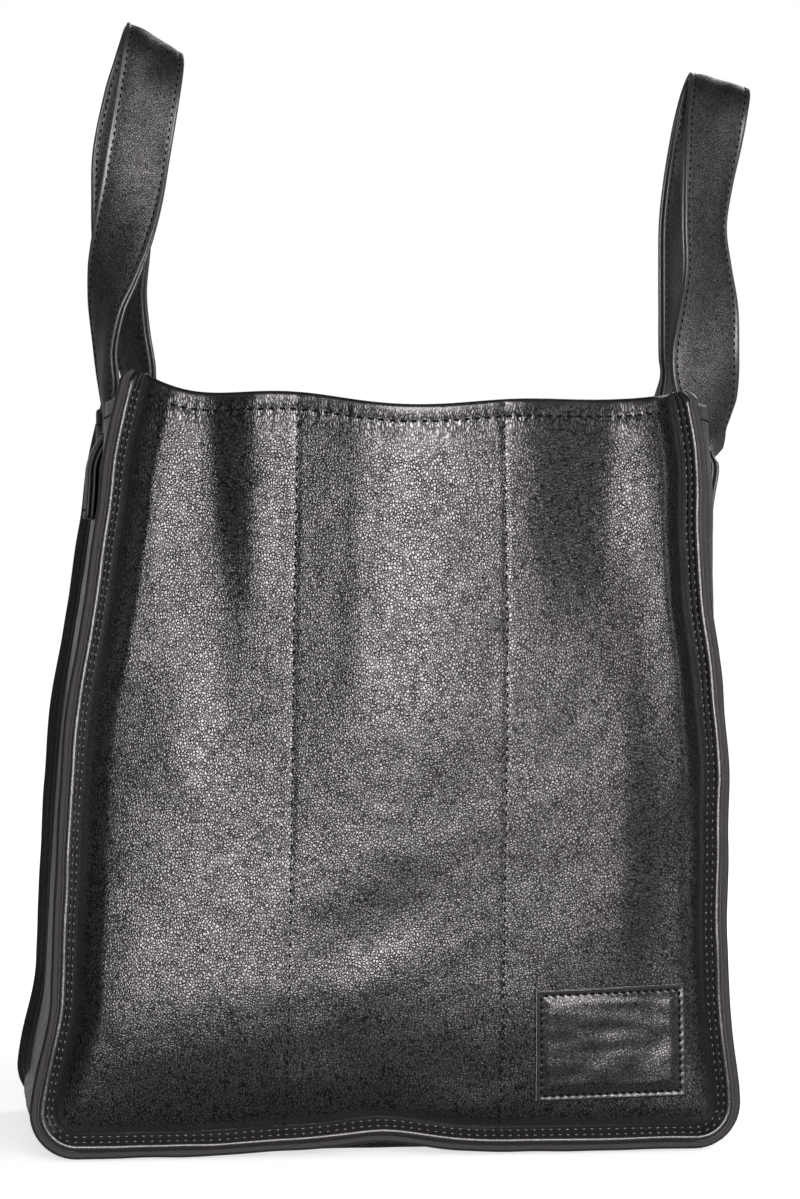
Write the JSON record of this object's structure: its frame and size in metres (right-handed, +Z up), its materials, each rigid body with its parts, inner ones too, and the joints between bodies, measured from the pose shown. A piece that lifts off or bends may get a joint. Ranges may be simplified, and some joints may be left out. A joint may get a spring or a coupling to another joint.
{
  "type": "bottle bag",
  "caption": "Upright leather bottle carrier with a divided inside, raised turned seams, a bare patch and strap handles on its side rims.",
  "frame": {"origin": "middle of the base, on the surface that the bag stands on", "axes": "+Z up, +X along the width towards the right end as seen from the front, +Y along the depth towards the back"},
  "size_m": [0.264, 0.1538, 0.3949],
  "materials": {
    "black_leather": "soft pebbled grain, semi-matt black",
    "strap_leather": "smooth folded and stitched strap, semi-matt black",
    "divider_suede": "matt black suede",
    "base_fibreboard": "matt brown fibreboard"
  },
  "bodies": {
    "bag": {"front_panel": "black_leather", "back_panel": "black_leather", "gusset": "black_leather", "base_board": "base_fibreboard", "cross_divider_left": "divider_suede", "cross_divider_right": "divider_suede", "long_divider": "divider_suede", "label_patch": "black_leather", "left_handle_outer_end": "strap_leather", "left_handle_inner_end": "strap_leather", "right_handle_outer_end": "strap_leather", "right_handle_inner_end": "strap_leather"},
    "left_handle": {"left_handle_face": "strap_leather", "left_handle_lining": "strap_leather", "left_handle_outer_bend": "strap_leather", "left_handle_inner_bend": "strap_leather"},
    "right_handle": {"right_handle_face": "strap_leather", "right_handle_lining": "strap_leather", "right_handle_outer_bend": "strap_leather", "right_handle_inner_bend": "strap_leather"}
  },
  "joints": [
    {"name": "left_handle_swing", "type": "hinge", "parent": "bag", "child": "left_handle", "pos_m": [-0.0855, 0, 0.262], "axis": [0, 1, 0], "range_deg": [-80, 102], "deforming": ["left_handle_outer_bend", "left_handle_inner_bend"]},
    {"name": "right_handle_swing", "type": "hinge", "parent": "bag", "child": "right_handle", "pos_m": [0.112, 0, 0.262], "axis": [0, 1, 0], "range_deg": [-90, 70], "deforming": ["right_handle_outer_bend", "right_handle_inner_bend"]}
  ]
}
